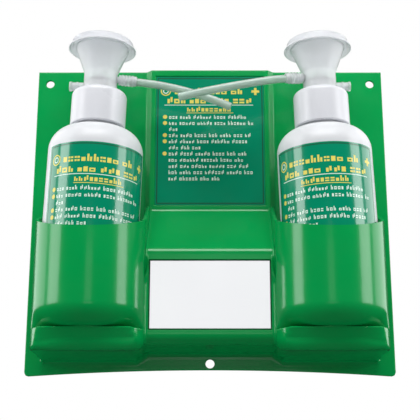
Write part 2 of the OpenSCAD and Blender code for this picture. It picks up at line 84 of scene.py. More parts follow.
RIM_R, RIM_TOP = 21.2, COLLAR_CROWN + 39.0
CUP_FLOOR, CUP_FLOOR_T, NOZZLE_SEAT_R = COLLAR_CROWN + 9.2, 1.6, 3.05
DIP_SOCKET_R, DIP_SOCKET_FOOT = 4.4, FLANGE_TOP - 6.4
COVER_R, COVER_EDGE_R, COVER_H, COVER_WALL = 24.6, 27.0, 7.5, 1.2
COVER_TOP = RIM_TOP + 3.6 + COVER_WALL
DRAIN_Z, VENT_Z = COLLAR_CROWN + 12.6, COLLAR_CROWN + 4.9
SPIGOT_R, SPIGOT_END, SPIGOT_BORE = 2.6, STEM_R + 7.0, 1.7
SLEEVE_R, SLEEVE_START, SLEEVE_LEN, SLEEVE_BORE = 4.5, STEM_R + 1.2, 14.4, 3.1
VENT_R, VENT_RING_R, VENT_REACH, PLUG_FACE_T = 3.5, 3.9, 24.5, 2.0
VENT_RING_START, VENT_RING_END = 17.4, 19.0
# Clearance where two pieces would otherwise share a face.
TOUCH_GAP = 0.06
HOSE_D = 6.3
DRAINS = {-1: (math.radians(4), math.radians(4)), 1: (math.radians(5.5), math.radians(14))}
WRAP_H, WRAP_FOOT, WRAP_ARC = 112.0, 20.6, math.radians(142)
WRAP_TURN = {-1: math.radians(14), 1: math.radians(8)}

SIDES = {-1: "left", 1: "right"}


# ---------------------------------------------------------------- camera and cords
def set_camera():
    data = bpy.data.cameras.new("camera")
    data.lens = 80.6
    data.sensor_width = 36.0
    cam = bpy.data.objects.new("camera", data)
    cam.location = (0.0, -0.743, -0.3085)
    cam.rotation_euler = (math.radians(105), 0.0, 0.0)
    bpy.context.collection.objects.link(cam)
    bpy.context.scene.camera = cam


LEFT_ROUTE = [
    (-64.0, -39.35, -13.15), (-59.0, -39.0, -13.5), (-54.0, -38.7, -13.9), (-49.0, -38.3, -14.5),
    (-44.0, -38.0, -15.1), (-39.0, -37.8, -15.9), (-34.0, -37.5, -16.9), (-29.0, -37.3, -17.9),
    (-24.0, -37.1, -19.1), (-19.0, -36.9, -20.4), (-14.0, -36.7, -21.8), (-9.0, -36.6, -23.4),
    (-4.0, -36.5, -25.1), (1.0, -36.4, -26.9), (6.0, -36.3, -28.9), (11.0, -36.2, -30.9),
    (16.5, -36.2, -33.4),
]
RIGHT_ROUTE = [
    (64.7, -46.75, -13.8), (60.0, -47.9, -14.3), (55.0, -49.2, -15.0), (50.0, -50.4, -16.0),
    (44.0, -51.6, -17.4), (38.0, -52.8, -18.8), (32.0, -53.8, -20.3), (26.0, -54.8, -21.7),
    (20.0, -55.6, -23.1), (14.0, -56.3, -24.6), (8.0, -56.9, -26.0), (2.0, -57.5, -27.5),
    (-4.0, -57.9, -28.9), (-10.0, -58.2, -30.4), (-17.0, -58.4, -32.2), (-24.5, -58.4, -34.0),
]


# ---------------------------------------------------------------- modelling helpers
def deselect():
    if bpy.context.mode != "OBJECT":
        bpy.ops.object.mode_set(mode="OBJECT")
    bpy.ops.object.select_all(action="DESELECT")


def pick(obj):
    deselect()
    bpy.context.view_layer.objects.active = obj
    obj.select_set(True)


def edit_all():
    """Edit mode with everything selected."""
    bpy.ops.object.mode_set(mode="EDIT")
    bpy.ops.mesh.select_all(action="SELECT")


def face_outwards():
    """Turns every face of a piece in edit mode outwards, and leaves that mode."""
    bpy.ops.mesh.select_all(action="SELECT")
    bpy.ops.mesh.normals_make_consistent(inside=False)
    bpy.ops.object.mode_set(mode="OBJECT")


def first_vertex(name, place):
    """A new mesh object in edit mode that holds one selected vertex at place."""
    deselect()
    bpy.ops.mesh.primitive_plane_add(size=MM)
    obj = bpy.context.object
    obj.name = obj.data.name = name
    edit_all()
    bpy.ops.mesh.merge(type="CENTER")
    bpy.ops.transform.translate(value=place)
    return obj


def draw_outline(name, points):
    """Extrudes one vertex along (radius, height) points, in millimetres, in the XZ plane."""
    places = [Vector((r * MM, 0.0, h * MM)) for r, h in points]
    obj = first_vertex(name, places[0])
    for a, b in zip(places, places[1:]):
        bpy.ops.mesh.extrude_region_move(TRANSFORM_OT_translate={"value": b - a})
    return obj


def clean_up(smooth_angle=35):
    bpy.ops.mesh.select_all(action="SELECT")
    bpy.ops.mesh.remove_doubles(threshold=0.002 * MM)
    bpy.ops.mesh.dissolve_degenerate(threshold=0.001 * MM)
    face_outwards()
    bpy.ops.object.shade_smooth_by_angle(angle=math.radians(smooth_angle))


def lathe(name, outline, steps=96, smooth_angle=35):
    """Spins an outline of (radius, height) points, in millimetres, round the Z axis."""
    obj = draw_outline(name, outline)
    bpy.ops.mesh.select_all(action="SELECT")
    bpy.ops.mesh.spin(steps=steps, angle=2 * math.pi, center=(0, 0, 0), axis=(0, 0, 1))
    clean_up(smooth_angle)
    return obj


def soft(points, pieces=6):
    """Rounds an outline: a corner written (x, y, radius) becomes an arc of that radius."""
    out = []
    for i, point in enumerate(points):
        here = Vector(point[:2])
        if len(point) < 3 or i in (0, len(points) - 1):
            out.append(tuple(here))
            continue
        back = (Vector(points[i - 1][:2]) - here).normalized()
        ahead = (Vector(points[i + 1][:2]) - here).normalized()
        half = back.angle(ahead) / 2
        if half > math.radians(89):
            out.append(tuple(here))
            continue
        reach = point[2] / math.tan(half)
        centre = here + (back + ahead).normalized() * (point[2] / math.sin(half))
        start, end = here + back * reach - centre, here + ahead * reach - centre
        sweep = math.atan2(start.x * end.y - start.y * end.x, start.dot(end))
        for k in range(pieces + 1):
            a = sweep * k / pieces
            out.append((
                centre.x + start.x * math.cos(a) - start.y * math.sin(a),
                centre.y + start.x * math.sin(a) + start.y * math.cos(a),
            ))
    return out


def settle(obj, place):
    """Puts a piece in its place for good: the place goes into the mesh."""
    pick(obj)
    obj.matrix_world = place @ obj.matrix_world
    bpy.ops.object.transform_apply(location=True, rotation=True, scale=True)
    return obj


def merge_into(main, *others):
    deselect()
    for o in others:
        o.select_set(True)
    main.select_set(True)
    bpy.context.view_layer.objects.active = main
    bpy.ops.object.join()
    return main


def apply_modifiers(obj):
    pick(obj)
    for m in list(obj.modifiers):
        bpy.ops.object.modifier_apply(modifier=m.name)
    return obj


def wear(obj, body, node, paint):
    """Gives a finished piece its body, the CAD node that it stands for and its material."""
    obj.data.materials.clear()
    obj.data.materials.append(paint)
    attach(obj, body)
    if node:
        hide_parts(node)
    return obj


def wear_plastic(obj, side, unit, part, kind, paints):
    """The same for a piece that is made once for each side, in one of the plain plastics."""
    name = SIDES[side]
    return wear(obj, f"{name}_{unit}_unit", f"{name}_{part}", paints[kind])


# ---------------------------------------------------------------- places on the leaning bottles
def on_bottle(side):
    foot = Vector((side * BOTTLE_FOOT_X, -POCKET_Y, BOTTLE_FOOT_Z)) * MM
    return Matrix.Translation(foot) @ Matrix.Rotation(-side * BOTTLE_LEAN, 4, "Y")


def drain_axis(side):
    pitch, yaw = DRAINS[side]
    turn = yaw if side < 0 else math.pi + yaw
    return (
        on_bottle(side)
        @ Matrix.Translation((0, 0, DRAIN_Z * MM))
        @ Matrix.Rotation(turn, 4, "Z")
        @ Matrix.Rotation(math.pi / 2 + pitch - BOTTLE_LEAN, 4, "Y")
    )


def vent_axis(side):
    return (
        on_bottle(side)
        @ Matrix.Translation((0, 0, VENT_Z * MM))
        @ Matrix.Rotation(side * math.pi / 2, 4, "Y")
    )


# ---------------------------------------------------------------- materials
def new_paint(name, colour, rough, **sockets):
    """A Principled material with its constants set on the shader; returns material, tree and shader."""
    paint = bpy.data.materials.new(name)
    paint.use_nodes = True
    tree = paint.node_tree
    shader = tree.nodes["Principled BSDF"]
    shader.inputs["Base Color"].default_value = (*colour, 1.0)
    shader.inputs["Roughness"].default_value = rough
    for key, value in sockets.items():
        shader.inputs[key.replace("_", " ")].default_value = value
    return paint, tree, shader


def noise(tree, scale, detail=3.0, rough=0.5):
    place = tree.nodes.new("ShaderNodeTexCoord")
    grain = tree.nodes.new("ShaderNodeTexNoise")
    grain.inputs["Scale"].default_value = scale
    grain.inputs["Detail"].default_value = detail
    grain.inputs["Roughness"].default_value = rough
    tree.links.new(place.outputs["Object"], grain.inputs["Vector"])
    return grain


def spread(tree, grain, low, high):
    """Maps a noise's middle range onto low..high."""
    span = tree.nodes.new("ShaderNodeMapRange")
    span.inputs["From Min"].default_value = 0.3
    span.inputs["From Max"].default_value = 0.7
    span.inputs["To Min"].default_value = low
    span.inputs["To Max"].default_value = high
    tree.links.new(grain.outputs["Fac"], span.inputs["Value"])
    return span.outputs["Result"]


def bump(tree, shader, grain, depth_mm):
    relief = tree.nodes.new("ShaderNodeBump")
    relief.inputs["Strength"].default_value = 1.0
    relief.inputs["Distance"].default_value = depth_mm * MM
    tree.links.new(grain.outputs["Fac"], relief.inputs["Height"])
    tree.links.new(relief.outputs["Normal"], shader.inputs["Normal"])


def tint(tree, shader, grain, dark, light):
    """Lets a base colour drift between two close tones with a noise."""
    mix = tree.nodes.new("ShaderNodeMix")
    mix.data_type = "RGBA"
    mix.inputs["A"].default_value = (*dark, 1.0)
    mix.inputs["B"].default_value = (*light, 1.0)
    tree.links.new(spread(tree, grain, 0.0, 1.0), mix.inputs["Factor"])
    tree.links.new(mix.outputs["Result"], shader.inputs["Base Color"])


def plastic(name, dark, light, rough, relief_mm=0.01, grain_scale=900.0, **sockets):
    """A moulded plastic: tone drift, uneven gloss and a fine surface grain."""
    paint, tree, shader = new_paint(name, light, rough, **sockets)
    clouds = noise(tree, 14.0, 4.0)
    tint(tree, shader, clouds, dark, light)
    smudges = noise(tree, 45.0, 5.0, 0.6)
    tree.links.new(spread(tree, smudges, rough * 0.82, rough * 1.22), shader.inputs["Roughness"])
    bump(tree, shader, noise(tree, grain_scale, 2.0), relief_mm)
    return paint


def make_paints():
    paints = {
        "panel": plastic(
            "panel_green", (0.0, 0.292, 0.062), (0.0, 0.322, 0.072), 0.2, 0.03, 260.0,
            IOR=1.44, Coat_Weight=0.2, Coat_Roughness=0.09,
        ),
        "label": plastic(
            "label_green", (0.0, 0.235, 0.118), (0.0, 0.262, 0.135), 0.16, 0.006, 500.0, Coat_Weight=0.6,
            Coat_Roughness=0.06,
        ),
        "label_edge": plastic("label_border", (0.012, 0.09, 0.045), (0.016, 0.11, 0.055), 0.22, 0.004, 500.0),
        "ink_white": plastic("ink_white", (0.62, 0.80, 0.70), (0.70, 0.86, 0.76), 0.2, 0.004, 700.0),
        "ink_yellow": plastic("ink_yellow", (0.72, 0.62, 0.11), (0.80, 0.70, 0.14), 0.2, 0.004, 700.0),
        "bottle": plastic(
            "bottle_plastic", (0.62, 0.635, 0.66), (0.665, 0.68, 0.705), 0.34, 0.012, 1100.0,
            Subsurface_Weight=0.35, Subsurface_Scale=0.004, Subsurface_Radius=(1.0, 1.0, 1.0),
        ),
        "collar": plastic(
            "collar_plastic", (0.60, 0.61, 0.645), (0.645, 0.655, 0.69), 0.3, 0.01, 1300.0,
            Subsurface_Weight=0.25, Subsurface_Scale=0.003, Subsurface_Radius=(1.0, 1.0, 1.0),
        ),
        "cup": plastic(
            "cup_plastic", (0.935, 0.955, 0.975), (0.96, 0.975, 0.99), 0.34, 0.006, 1000.0,
            Transmission_Weight=0.65, IOR=1.22, Coat_Weight=0.25, Coat_Roughness=0.2,
        ),
        "cover": plastic(
            "cover_plastic", (0.90, 0.91, 0.945), (0.93, 0.94, 0.965), 0.34, 0.006, 1000.0,
            Transmission_Weight=0.6, IOR=1.22, Coat_Weight=0.25, Coat_Roughness=0.2,
        ),
        "hose": plastic(
            "hose_plastic", (0.70, 0.82, 0.76), (0.78, 0.88, 0.83), 0.14, 0.006, 700.0,
            Transmission_Weight=0.7, IOR=1.42,
        ),
        "washer": plastic("washer_foam", (0.66, 0.68, 0.68), (0.73, 0.74, 0.74), 0.7, 0.08, 1500.0),
        "tape": plastic("foam_tape", (0.70, 0.70, 0.66), (0.78, 0.78, 0.73), 0.85, 0.1, 1200.0),
        "solution": plastic(
            "solution_clear", (0.90, 0.96, 0.98), (0.94, 0.98, 0.99), 0.02, 0.0, 50.0,
            Transmission_Weight=1.0, IOR=1.335,
        ),
        "mirror": plastic(
            "mirror_glass", (0.90, 0.91, 0.935), (0.93, 0.94, 0.96), 0.03, 0.0005, 30.0, Metallic=0.75,
            Coat_Weight=1.0, Coat_Roughness=0.01,
        ),
        "mirror_edge": plastic("mirror_edge", (0.20, 0.30, 0.27), (0.26, 0.36, 0.33), 0.25, 0.01, 600.0),
    }
    return paints


# ---------------------------------------------------------------- the formed panel
def smooth_step(t):
    t = min(max(t, 0.0), 1.0)
    return t * t * (3 - 2 * t)


def lerp(a, b, t):
    return a + (b - a) * t


def edge_inset(z):
    """How far the pocket's sides have turned in at height z, round the foot's lower edge."""
    drop = FOOT_Z + FOOT_EDGE - z
    if drop <= 0:
        return 0.0
    drop = min(drop, FOOT_EDGE)
    return FOOT_EDGE - math.sqrt(FOOT_EDGE ** 2 - drop ** 2)


def rim_height(depth):
    return RIM_Z - math.tan(RIM_SLOPE) * depth


def lowest_edge(x):
    """Height of the panel's arched bottom edge."""
    arch_r = (PANEL_W ** 2 / 4 + ARCH_RISE ** 2) / (2 * ARCH_RISE)
    return BOTTOM_Z + ARCH_LIFT - arch_r + math.sqrt(arch_r ** 2 - x ** 2)


def foot_reach(angle, tilt):
    """Distance from the pocket's axis to the foot's outline: a circle with a flat front."""
    flat = (FOOT_FACE_Y - tilt - POCKET_Y) / max(math.cos(angle), 1e-6)
    return min(POCKET_R, flat)


def inner_wall_x(depth, z):
    r = POCKET_R - edge_inset(z)
    ahead = max(depth - POCKET_Y, 0.0)
    return POCKET_X - math.sqrt(max(r * r - ahead * ahead, 0.0))


def centre_rows():
    """The middle's side view as (depth, height), split into walls, edge and underside."""
    slope = soft([
        (FIELD_Y, FIELD_FOOT_Z + 3.0), (FIELD_Y, FIELD_FOOT_Z, 5.0), (BLOCK_Y, BLOCK_TOP_Z, 7.0),
        (BLOCK_Y, BLOCK_TOP_Z - 4.0),
    ], pieces=5)
    top = MIRROR_MID_Z + MIRROR_H / 2 + RECESS_GAP
    low = MIRROR_MID_Z - MIRROR_H / 2 - RECESS_GAP
    steps = (0.45, 0.3, 0.15, 0.0, -0.15, -0.3)
    face = [top + step for step in steps] + [top - 4.0] + [lerp(top, low, t) for t in (0.3, 0.5, 0.7)]
    face += [low + 4.0] + [low - step for step in reversed(steps)]
    walls = slope + [(BLOCK_Y, z) for z in face]
    edge = [
        (BLOCK_Y - BLOCK_EDGE * (1 - math.cos(turn)), BLOCK_FOOT_Z + BLOCK_EDGE * (1 - math.sin(turn)))
        for turn in [math.radians(15 * k) for k in range(7)]
    ]
    under = [
        (lerp(BLOCK_Y - BLOCK_EDGE, SHEET + WALL_FILLET, k / 5), BLOCK_FOOT_Z - UNDER_DRAFT * k / 5)
        for k in range(1, 6)
    ]
    return walls, edge, under


def mirror_recess_at(x, z):
    """0 outside the mirror's recess and 1 on its floor, with the step in between."""
    top = MIRROR_MID_Z + MIRROR_H / 2 + RECESS_GAP
    low = MIRROR_MID_Z - MIRROR_H / 2 - RECESS_GAP
    half = MIRROR_W / 2 + RECESS_GAP
    across = smooth_step((half + 0.3 - abs(x)) / 0.6)
    down = smooth_step((top + 0.3 - z) / 0.6) * smooth_step((z - low + 0.3) / 0.6)
    return across * down


def panel_columns():
    """Half of the lower form's columns, from the outer edge to the middle."""
    flange = [("flange", t) for t in FLANGE_STEPS]
    outer_fillet = [("outer_fillet", math.radians(90 - 18 * k)) for k in range(6)]
    outer_wall = [("outer_wall", k / 5) for k in range(1, 5)]
    arc = [("arc", math.radians(-90 + 170 * k / 56)) for k in range(57)]
    inner_wall = [("inner_wall", k / 5) for k in range(1, 6)]
    inner_fillet = [("inner_fillet", math.radians(22.5 * k)) for k in range(1, 5)]
    centre = [("centre", x) for x in MIDDLE_X]
    return flange + outer_fillet + outer_wall + arc + inner_wall + inner_fillet + centre


def lower_form_rows():
    """The lower form's rows: for each, the pocket's group and value, and the middle's depth and height."""
    walls, edge, under = centre_rows()
    runs, cups, ledges = 9, 11, 4
    faces = len(walls) - runs - cups - ledges
    rows = []
    for k, (depth, z) in enumerate(walls):
        if k < runs:
            pocket = ("run", k / runs)
        elif k < runs + cups:
            pocket = ("cup", math.radians(90) * (k - runs) / (cups - 1))
        elif k < runs + cups + ledges:
            pocket = ("ledge", (k - runs - cups + 1) / ledges)
        else:
            pocket = ("face", (k - runs - cups - ledges + 1) / (faces + 1))
        rows.append((pocket, (depth, z), 1.0))
    for k, (depth, z) in enumerate(edge):
        rows.append((("edge", math.radians(15 * k)), (depth, z), 1.0))
    for k, (depth, z) in enumerate(under):
        rows.append((("under", (k + 1) / len(under)), (depth, z), 1.0))
    for b in (30, 60, 90):
        a = math.radians(b)
        keep = 1 - math.sin(a)
        drop = WALL_FILLET * (1 - math.cos(a))
        rows.append((("back", drop), (SHEET + WALL_FILLET * keep, BLOCK_FOOT_Z - UNDER_DRAFT - drop), keep))
    for t in APRON_STEPS:
        rows.append((("apron", t), (SHEET, None), 0.0))
    return rows


def foot_edge(angle):
    """Radius of the foot's lower edge, which tightens towards the outer side."""
    return lerp(FOOT_EDGE, SIDE_EDGE, smooth_step((-math.degrees(angle) - 35) / 40))


def pocket_height(kind, value, depth, x, edge=SIDE_EDGE):
    """Height of a pocket row where the skin stands at this depth."""
    seam = POCKET_FLOOR_Z + POCKET_FILLET
    if kind == "run":
        return lerp(rim_height(depth), seam, value)
    if kind == "cup":
        return seam - POCKET_FILLET * math.sin(value)
    if kind == "ledge":
        return POCKET_FLOOR_Z - 1.2 * value ** 3
    if kind == "face":
        return lerp(POCKET_FLOOR_Z - 1.2, FOOT_Z + edge, value)
    if kind == "edge":
        return FOOT_Z + edge * (1 - math.sin(value))
    if kind == "under":
        return FOOT_Z - UNDER_DRAFT * value
    if kind == "back":
        return FOOT_Z - UNDER_DRAFT - value
    return lerp(FOOT_Z - UNDER_DRAFT - WALL_FILLET, lowest_edge(x), value)


def arc_point(kind, value, angle):
    """A point on the pocket's round front, angle 0 facing forwards and below 0 on the outer side."""
    fade = smooth_step((abs(math.degrees(angle)) - 58) / 26)
    cup_r = POCKET_R
    if kind in ("cup", "ledge"):
        turn = value if kind == "cup" else math.pi / 2
        cup_r = lerp(POCKET_R - POCKET_FILLET * (1 - math.cos(turn)), POCKET_R, fade)
    tilt = {"run": 0.0, "cup": 0.0, "ledge": 0.0, "face": value}.get(kind, 1.0) * FOOT_TILT
    flat = foot_reach(angle, tilt)
    if kind in ("run", "cup"):
        r = cup_r
    elif kind == "ledge":
        r = lerp(cup_r, flat, math.sin(value * math.pi / 2) ** 0.8)
    else:
        r = flat
    if kind == "edge":
        r -= foot_edge(angle) * (1 - math.cos(value))
    elif kind in ("under", "back", "apron"):
        r -= foot_edge(angle)
    x = POCKET_X - r * math.sin(angle)
    depth = POCKET_Y + r * math.cos(angle)
    if kind == "under":
        depth = lerp(depth, SHEET + WALL_FILLET, value)
    elif kind == "back":
        depth = SHEET + WALL_FILLET * (1 - math.sqrt(max(1 - (1 - value / WALL_FILLET) ** 2, 0.0)))
    elif kind == "apron":
        depth = SHEET
    return x, depth, pocket_height(kind, value, depth, x, foot_edge(angle))


def lower_point(column, row):
    """Where one point of the lower form lies, as (x, depth, height)."""
    part, u = column
    (kind, value), (mid_depth, mid_z), keep = row
    skin = kind not in ("back", "apron")
    if part == "arc":
        return arc_point(kind, value, u)
    if part == "outer_wall" or part == "outer_fillet" or part == "flange":
        back = SHEET + WALL_FILLET
        turned = SIDE_EDGE if kind in ("under", "back", "apron") else 0.0
        if kind == "edge":
            turned = SIDE_EDGE * (1 - math.cos(value))
        wall_x = POCKET_X + POCKET_R - turned
        if part == "outer_wall":
            depth = lerp(back, POCKET_Y, u)
            if kind == "under":
                depth = lerp(depth, back, value)
            elif not skin:
                depth = arc_point(kind, value, -math.pi / 2)[1]
            return wall_x, depth, pocket_height(kind, value, depth, wall_x)
        if part == "outer_fillet":
            x = wall_x + WALL_FILLET * (1 - math.cos(u))
            depth = SHEET + WALL_FILLET * (1 - math.sin(u)) * keep
        else:
            x = lerp(wall_x + WALL_FILLET, PANEL_W / 2, u)
            depth = SHEET
        return x, depth, pocket_height(kind, value, depth, x)
    near = arc_point(kind, value, math.radians(80))
    if part == "centre":
        z = lerp(BLOCK_FOOT_Z - UNDER_DRAFT - WALL_FILLET, lowest_edge(u), value) if mid_z is None else mid_z
        return u, mid_depth - MIRROR_RECESS * mirror_recess_at(u, z), z
    foot = BLOCK_FOOT_Z - UNDER_DRAFT - WALL_FILLET
    z = lerp(foot, lowest_edge(POCKET_X - POCKET_R), value) if mid_z is None else mid_z
    depth = mid_depth + INNER_FILLET * keep
    x = inner_wall_x(depth, z) if skin else POCKET_X - POCKET_R
    if part == "inner_wall":
        d, h = lerp(near[1], depth, u), lerp(near[2], z, u)
        return (inner_wall_x(d, h) if skin else lerp(near[0], x, u)), d, h
    d = mid_depth + INNER_FILLET * (1 - math.sin(u)) * keep
    return lerp(x, MIDDLE_EDGE, 1 - math.cos(u)), d, z


def grid_object(name, points):
    """A grid primitive whose vertices are moved to the given rows of points, in millimetres."""
    deselect()
    rows, columns = len(points), len(points[0])
    bpy.ops.mesh.primitive_grid_add(x_subdivisions=columns - 1, y_subdivisions=rows - 1, size=1.0)
    obj = bpy.context.object
    obj.name = obj.data.name = name
    for i, vertex in enumerate(obj.data.vertices):
        vertex.co = Vector(points[i // columns][i % columns]) * MM
    return obj


def edge_drop(x, z):
    """How far the sheet's face falls away at its outer edges."""
    inside = min(PANEL_W / 2 - abs(x), z - lowest_edge(x), TOP_Z - z)
    if inside >= EDGE_ROUND:
        return 0.0
    t = 1 - max(inside, 0.0) / EDGE_ROUND
    return EDGE_ROUND * (1 - math.sqrt(1 - t * t))


def round_corner(x, z):
    """Pulls the sheet's square lower corners in to their radius."""
    cx, cz = PANEL_W / 2 - CORNER_R, lowest_edge(PANEL_W / 2) + CORNER_R
    qx, qz = (abs(x) - cx) / CORNER_R, (cz - z) / CORNER_R
    if qx <= 0 or qz <= 0:
        return x, z
    shrink = max(qx, qz) / math.hypot(qx, qz)
    return math.copysign(cx + CORNER_R * qx * shrink, x), cz - CORNER_R * qz * shrink


def lower_form():
    half = panel_columns()
    columns = [(1, c) for c in half] + [(-1, c) for c in reversed(half[:-1])]
    points = []
    for row in lower_form_rows():
        line = []
        for side, column in columns:
            x, depth, z = lower_point(column, row)
            fall = edge_drop(x, z)
            x, z = round_corner(side * x, z)
            line.append((x, fall - depth, z))
        points.append(line)
    return grid_object("fine_wall_panel", points)


def upper_columns():
    """x places of the upper sheet's columns, right half, from the outer edge to the middle."""
    wall_x = POCKET_X + POCKET_R
    flange = [lerp(wall_x + WALL_FILLET, PANEL_W / 2, t) for t in FLANGE_STEPS]
    fillet = [wall_x + WALL_FILLET * (1 - math.cos(math.radians(90 - 18 * k))) for k in range(6)]
    flat = [BACK_TAB_REACH + 0.2, BACK_TAB_REACH - 0.2, 110.0, 91.0, 75.0, 64.0, 59.0]
    slope = soft(
        [(64.0, SHEET), (FIELD_FOOT_HALF, SHEET, 2.5), (FIELD_HALF, FIELD_Y, 2.5), (47.0, FIELD_Y)], pieces=5
    )
    return flange, fillet, flat, slope


def upper_form():
    """The flat sheet above the pockets with the raised field and the label's shallow recess."""
    flange, fillet, flat, slope = upper_columns()
    half = LABEL_W / 2 + RECESS_GAP
    middle = [MIDDLE_EDGE] + MIDDLE_X
    right = [(x, SHEET) for x in flange + fillet + flat] + slope[1:-1] + [(x, FIELD_Y) for x in middle]
    columns = right + [(-x, d) for x, d in reversed(right[:-1])]
    low, high = LABEL_MID_Z - LABEL_H / 2 - RECESS_GAP, LABEL_MID_Z + LABEL_H / 2 + RECESS_GAP
    heights = [None, low - 0.6] + [low - step for step in STEP_ACROSS]
    heights += [low + 4.0, -85.0, -60.0, -35.0, -15.0, high - 4.0]
    heights += [high + step for step in reversed(STEP_ACROSS)] + [high + 1.5]
    heights += [TOP_Z - step for step in (2.0, 0.8, 0.4, 0.15, 0.0)]
    points = []
    for height in reversed(heights):
        line = []
        for x, depth in columns:
            z = height
            if z is None:
                z = FIELD_FOOT_Z + 3.0 if abs(x) < FIELD_HALF - 0.1 else rim_height(SHEET)
                if FIELD_HALF + 1 < abs(x) < BACK_TAB_REACH:
                    z = BACK_TAB_Z
            across = smooth_step((half + 0.3 - abs(x)) / 0.6)
            down = smooth_step((high + 0.3 - z) / 0.6) * smooth_step((z - low + 0.3) / 0.6)
            cut = LABEL_RECESS * across * down if depth == FIELD_Y else 0.0
            line.append((x, edge_drop(x, z) + cut - depth, z))
        points.append(line)
    return grid_object("upper_sheet", points)


def cutter(name, radius, height, place):
    deselect()
    bpy.ops.mesh.primitive_cylinder_add(vertices=48, radius=radius * MM, depth=height * MM)
    obj = bpy.context.object
    obj.name = name
    return settle(obj, place)


def cut_holes(obj, tools):
    for tool in tools:
        cut = obj.modifiers.new("cut", "BOOLEAN")
        cut.operation = "DIFFERENCE"
        cut.solver = "EXACT"
        cut.object = tool
        apply_modifiers(obj)
        bpy.data.objects.remove(tool, do_unlink=True)
    return obj


def make_panel(paints):
    panel = merge_into(lower_form(), upper_form())
    edit_all()
    bpy.ops.mesh.remove_doubles(threshold=0.02 * MM)
    bpy.ops.mesh.dissolve_degenerate(threshold=0.01 * MM)
    face_outwards()
    facing = sum(p.normal.y * p.area for p in panel.data.polygons)
    if facing > 0:
        bpy.ops.object.mode_set(mode="EDIT")
        bpy.ops.mesh.flip_normals()
        bpy.ops.object.mode_set(mode="OBJECT")
    wall = panel.modifiers.new("sheet", "SOLIDIFY")
    wall.thickness = SHEET * MM
    wall.offset = -1.0
    wall.use_even_offset = False
    wall.use_quality_normals = True
    apply_modifiers(panel)
    for v in panel.data.vertices:
        v.co.y = min(v.co.y, 0.0)
    round_wall = Matrix.Rotation(math.pi / 2, 4, "X")
    spots = [(-SCREW_SPAN / 2, 0.0), (SCREW_SPAN / 2, 0.0), (0.0, LOW_SCREW_Z)]
    cut_holes(panel, [
        cutter("screw_cutter", SCREW_D / 2, 12.0, Matrix.Translation(Vector((x, 0, z)) * MM) @ round_wall)
        for x, z in spots
    ])
    pick(panel)
    bpy.ops.object.shade_smooth_by_angle(angle=math.radians(50))
    even = panel.modifiers.new("even_shading", "WEIGHTED_NORMAL")
    even.keep_sharp = True
    return wear(panel, "station", "wall_panel", paints["panel"])


# ---------------------------------------------------------------- printed labels
def rounded_plate(name, width, height, thick, radius):
    """A thin plate with round corners, upright in the XZ plane, its back at y = 0."""
    deselect()
    bpy.ops.mesh.primitive_plane_add(size=1.0)
    obj = bpy.context.object
    obj.name = obj.data.name = name
    obj.scale = (width * MM, height * MM, 1.0)
    obj.rotation_euler = (math.radians(90), 0.0, 0.0)
    bpy.ops.object.transform_apply(location=True, rotation=True, scale=True)
    edit_all()
    bpy.ops.mesh.bevel(offset=radius * MM, segments=8, affect="VERTICES")
    bpy.ops.mesh.select_all(action="SELECT")
    bpy.ops.mesh.extrude_region_move(TRANSFORM_OT_translate={"value": (0, -thick * MM, 0)})
    face_outwards()
    return obj


class Print:
    """Raised ink blocks on a label, drawn flat as (across, up) in millimetres from the label's middle."""

    def __init__(self, place):
        self.place = place
        self.points, self.faces, self.inks = [], [], []

    def block(self, corners, ink, low=-0.02, high=0.05):
        first = len(self.points)
        n = len(corners)
        for level in (low, high):
            self.points += [self.place(u, v, level) for u, v in corners]
        self.faces.append(tuple(first + n + k for k in range(n)))
        self.faces.append(tuple(first + k for k in reversed(range(n))))
        ring = [(first + k, first + (k + 1) % n) for k in range(n)]
        self.faces += [(a, b, b + n, a + n) for a, b in ring]
        self.inks += [ink] * (n + 2)

    def patch(self, u0, v0, u1, v1, ink, **lift):
        self.block([(u0, v0), (u1, v0), (u1, v1), (u0, v1)], ink, **lift)

    def bar(self, u0, v0, u1, v1, ink, **lift):
        """A patch in short lengths, so that it can bend round a bottle."""
        pieces = max(1, int((u1 - u0) / 3.0))
        for k in range(pieces):
            self.patch(lerp(u0, u1, k / pieces), v0, lerp(u0, u1, (k + 1) / pieces), v1, ink, **lift)

    def ring(self, u, v, r, wide, ink, pieces=20):
        for k in range(pieces):
            a, b = 2 * math.pi * k / pieces, 2 * math.pi * (k + 1) / pieces
            spots = [(r, a), (r, b), (r - wide, b), (r - wide, a)]
            self.block([(u + q * math.cos(t), v + q * math.sin(t)) for q, t in reversed(spots)], ink)

    def disc(self, u, v, r, ink, pieces=16):
        turns = [2 * math.pi * k / pieces for k in range(pieces)]
        self.block([(u + r * math.cos(t), v + r * math.sin(t)) for t in turns], ink)

    def finish(self, name, paints):
        mesh = bpy.data.meshes.new(name)
        mesh.from_pydata(self.points, [], self.faces)
        for ink in ("ink_white", "ink_yellow", "label_edge"):
            mesh.materials.append(paints[ink])
        for polygon, ink in zip(mesh.polygons, self.inks):
            polygon.material_index = ink
        obj = bpy.data.objects.new(name, mesh)
        bpy.context.collection.objects.link(obj)
        pick(obj)
        bpy.ops.object.mode_set(mode="EDIT")
        face_outwards()
        return obj


WHITE_INK, YELLOW_INK, DARK_INK = 0, 1, 2
MARK_SHAPES = (
    ((0.0, 0.0, 1.0, 0.7),),
    ((0.0, 0.0, 0.42, 1.0), (0.58, 0.0, 1.0, 0.6)),
    ((0.0, 0.0, 1.0, 0.26), (0.0, 0.44, 1.0, 0.7)),
    ((0.0, 0.0, 0.26, 0.7), (0.74, 0.0, 1.0, 0.7), (0.26, 0.46, 0.74, 0.7), (0.26, 0.0, 0.74, 0.22)),
    ((0.1, 0.0, 0.5, 0.7), (0.62, 0.2, 0.95, 1.0)),
)


